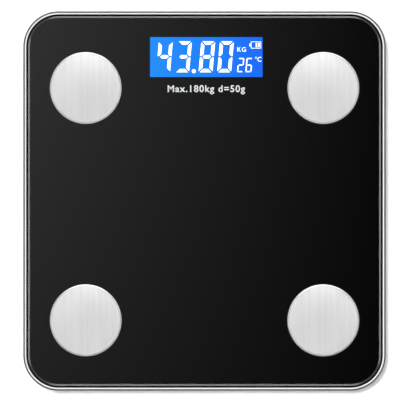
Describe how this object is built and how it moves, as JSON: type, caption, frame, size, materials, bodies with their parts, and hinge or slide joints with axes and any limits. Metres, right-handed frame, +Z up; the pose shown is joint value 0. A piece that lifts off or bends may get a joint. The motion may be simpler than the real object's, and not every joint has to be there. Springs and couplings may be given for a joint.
{
  "type": "digital bathroom scale",
  "caption": "Rectangular glass-topped digital bathroom scale with round steel electrodes, a blue backlit display window, a shallow moulded tray, sprung feet and a battery door.",
  "frame": {"origin": "on the floor, under the centre of the platform", "axes": "+X to the right and +Y to the display end, seen from above by someone standing on the scale's near edge; +Z up"},
  "size_m": [0.28, 0.293, 0.0266],
  "materials": {
    "platform_glass": "clear tempered float glass, polished bevel",
    "back_print": "black film bonded to the glass",
    "electrode_steel": "vertical brushed grain",
    "nylon": "natural nylon",
    "plated_steel": "nickel plated",
    "foam_tape": "closed-cell foam, adhesive on both faces",
    "gasket_foam": "soft closed-cell foam",
    "display_glass": "blue negative display, lit",
    "light_guide": "clear acrylic with white dots",
    "white_plastic": "moulded ABS",
    "zebra_rubber": "striped silicone",
    "lamp": "lamp body with clear lens",
    "circuit_board": "green solder mask",
    "black_plastic": "moulded",
    "radio_module": "tinned shield on a small board",
    "capacitor_sleeve": "shrink sleeve",
    "crystal_can": "tinned can",
    "connector_plastic": "natural nylon",
    "screw_steel": "zinc plated",
    "tray_plastic": "fine spark-eroded texture",
    "cell_steel": "nickel-plated spring steel",
    "gauge_sealant": "white silicone bead",
    "foot_plastic": "moulded ABS",
    "foot_rubber": "grooved, matt",
    "door_plastic": "fine spark-eroded texture",
    "battery_sleeve": "plain two-colour shrink sleeve",
    "button_plastic": "moulded ABS",
    "red_lead": "PVC insulation",
    "black_lead": "PVC insulation"
  },
  "bodies": {
    "platform": {"glass_platform": "platform_glass", "back_print": "back_print", "electrode_rear_left": "electrode_steel", "electrode_rear_right": "electrode_steel", "electrode_front_left": "electrode_steel", "electrode_front_right": "electrode_steel", "electrode_washers": "nylon", "electrode_terminals": "plated_steel", "electrode_nuts": "plated_steel", "perimeter_tape": "foam_tape", "pod_tape_pads": "foam_tape", "lcd_gasket": "gasket_foam", "lcd_panel": "display_glass", "light_guide": "light_guide", "lcd_frame": "white_plastic", "zebra_connector": "zebra_rubber", "backlight_leds": "lamp", "main_board": "circuit_board", "controller_chips": "black_plastic", "bluetooth_module": "radio_module", "board_capacitors": "capacitor_sleeve", "crystal": "crystal_can", "wire_headers": "connector_plastic", "wire_plugs": "connector_plastic", "board_screws": "screw_steel", "base_tray": "tray_plastic", "cell_carrier_rear_left": "white_plastic", "cell_carrier_rear_right": "white_plastic", "cell_carrier_front_left": "white_plastic", "cell_carrier_front_right": "white_plastic", "load_cell_rear_left": "cell_steel", "load_cell_rear_right": "cell_steel", "load_cell_front_left": "cell_steel", "load_cell_front_right": "cell_steel", "strain_gauges": "gauge_sealant", "battery_cell_1": "battery_sleeve", "battery_cell_2": "battery_sleeve", "battery_cell_3": "battery_sleeve", "battery_cell_4": "battery_sleeve", "battery_springs": "plated_steel", "battery_contacts": "plated_steel", "unit_switch": "black_plastic", "switch_board": "circuit_board", "cell_leads": "red_lead", "harness_leads": "black_lead"},
    "foot_rear_left": {"foot_cup_rear_left": "foot_plastic", "foot_pad_rear_left": "foot_rubber", "foot_screw_rear_left": "screw_steel"},
    "foot_rear_right": {"foot_cup_rear_right": "foot_plastic", "foot_pad_rear_right": "foot_rubber", "foot_screw_rear_right": "screw_steel"},
    "foot_front_left": {"foot_cup_front_left": "foot_plastic", "foot_pad_front_left": "foot_rubber", "foot_screw_front_left": "screw_steel"},
    "foot_front_right": {"foot_cup_front_right": "foot_plastic", "foot_pad_front_right": "foot_rubber", "foot_screw_front_right": "screw_steel"},
    "battery_door": {"battery_door": "door_plastic"},
    "unit_button": {"unit_button": "button_plastic", "switch_plunger": "black_plastic"}
  },
  "joints": [
    {"name": "foot_travel_rear_left", "type": "slide", "parent": "platform", "child": "foot_rear_left", "axis": [0, 0, 1], "range_m": [0, 0.0006], "deforming": ["load_cell_rear_left"]},
    {"name": "foot_travel_rear_right", "type": "slide", "parent": "platform", "child": "foot_rear_right", "axis": [0, 0, 1], "range_m": [0, 0.0006], "deforming": ["load_cell_rear_right"]},
    {"name": "foot_travel_front_left", "type": "slide", "parent": "platform", "child": "foot_front_left", "axis": [0, 0, 1], "range_m": [0, 0.0006], "deforming": ["load_cell_front_left"]},
    {"name": "foot_travel_front_right", "type": "slide", "parent": "platform", "child": "foot_front_right", "axis": [0, 0, 1], "range_m": [0, 0.0006], "deforming": ["load_cell_front_right"]},
    {"name": "battery_door_hinge", "type": "hinge", "parent": "platform", "child": "battery_door", "pos_m": [0, -0.0245, 0.0066], "axis": [-1, 0, 0], "range_deg": [0, 95]},
    {"name": "unit_button_press", "type": "slide", "parent": "platform", "child": "unit_button", "axis": [0, 0, 1], "range_m": [0, 0.0005], "stiffness_N_per_m": 3000, "springref_m": -0.0001}
  ]
}
